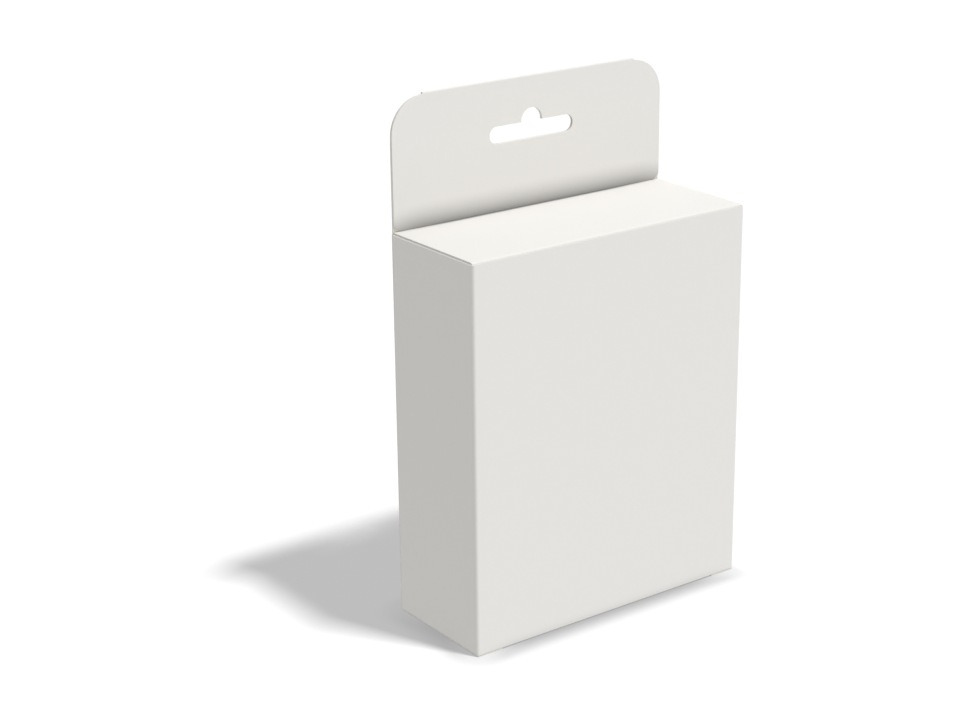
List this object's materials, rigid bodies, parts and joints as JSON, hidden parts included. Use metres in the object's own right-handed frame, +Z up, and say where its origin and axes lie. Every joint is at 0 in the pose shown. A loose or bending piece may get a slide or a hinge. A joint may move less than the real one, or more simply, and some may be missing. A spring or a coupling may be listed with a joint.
{
  "type": "hanging carton box",
  "caption": "White folding carton with a two-ply hanging header, a shop-hook slot and a hinged tuck-in lid at each end.",
  "frame": {"origin": "centre of the carton's footprint, on the surface that it stands on", "axes": "+X to the carton's right seen from the front, +Y from the front panel to the back panel and header, +Z up"},
  "size_m": [0.101, 0.04, 0.1603],
  "materials": {
    "coated_board": "satin clay-coated white boxboard"
  },
  "bodies": {
    "carton": {"carton_body": "coated_board"},
    "top_closure": {"top_lid": "coated_board"},
    "bottom_closure": {"bottom_lid": "coated_board"}
  },
  "joints": [
    {"name": "top_lid_hinge", "type": "hinge", "parent": "carton", "child": "top_closure", "pos_m": [0, 0.01898, 0.1205], "axis": [-1, 0, 0], "range_deg": [0, 88]},
    {"name": "bottom_lid_hinge", "type": "hinge", "parent": "carton", "child": "bottom_closure", "pos_m": [0, 0.01955, 0.00045], "axis": [1, 0, 0], "range_deg": [0, 120]}
  ]
}
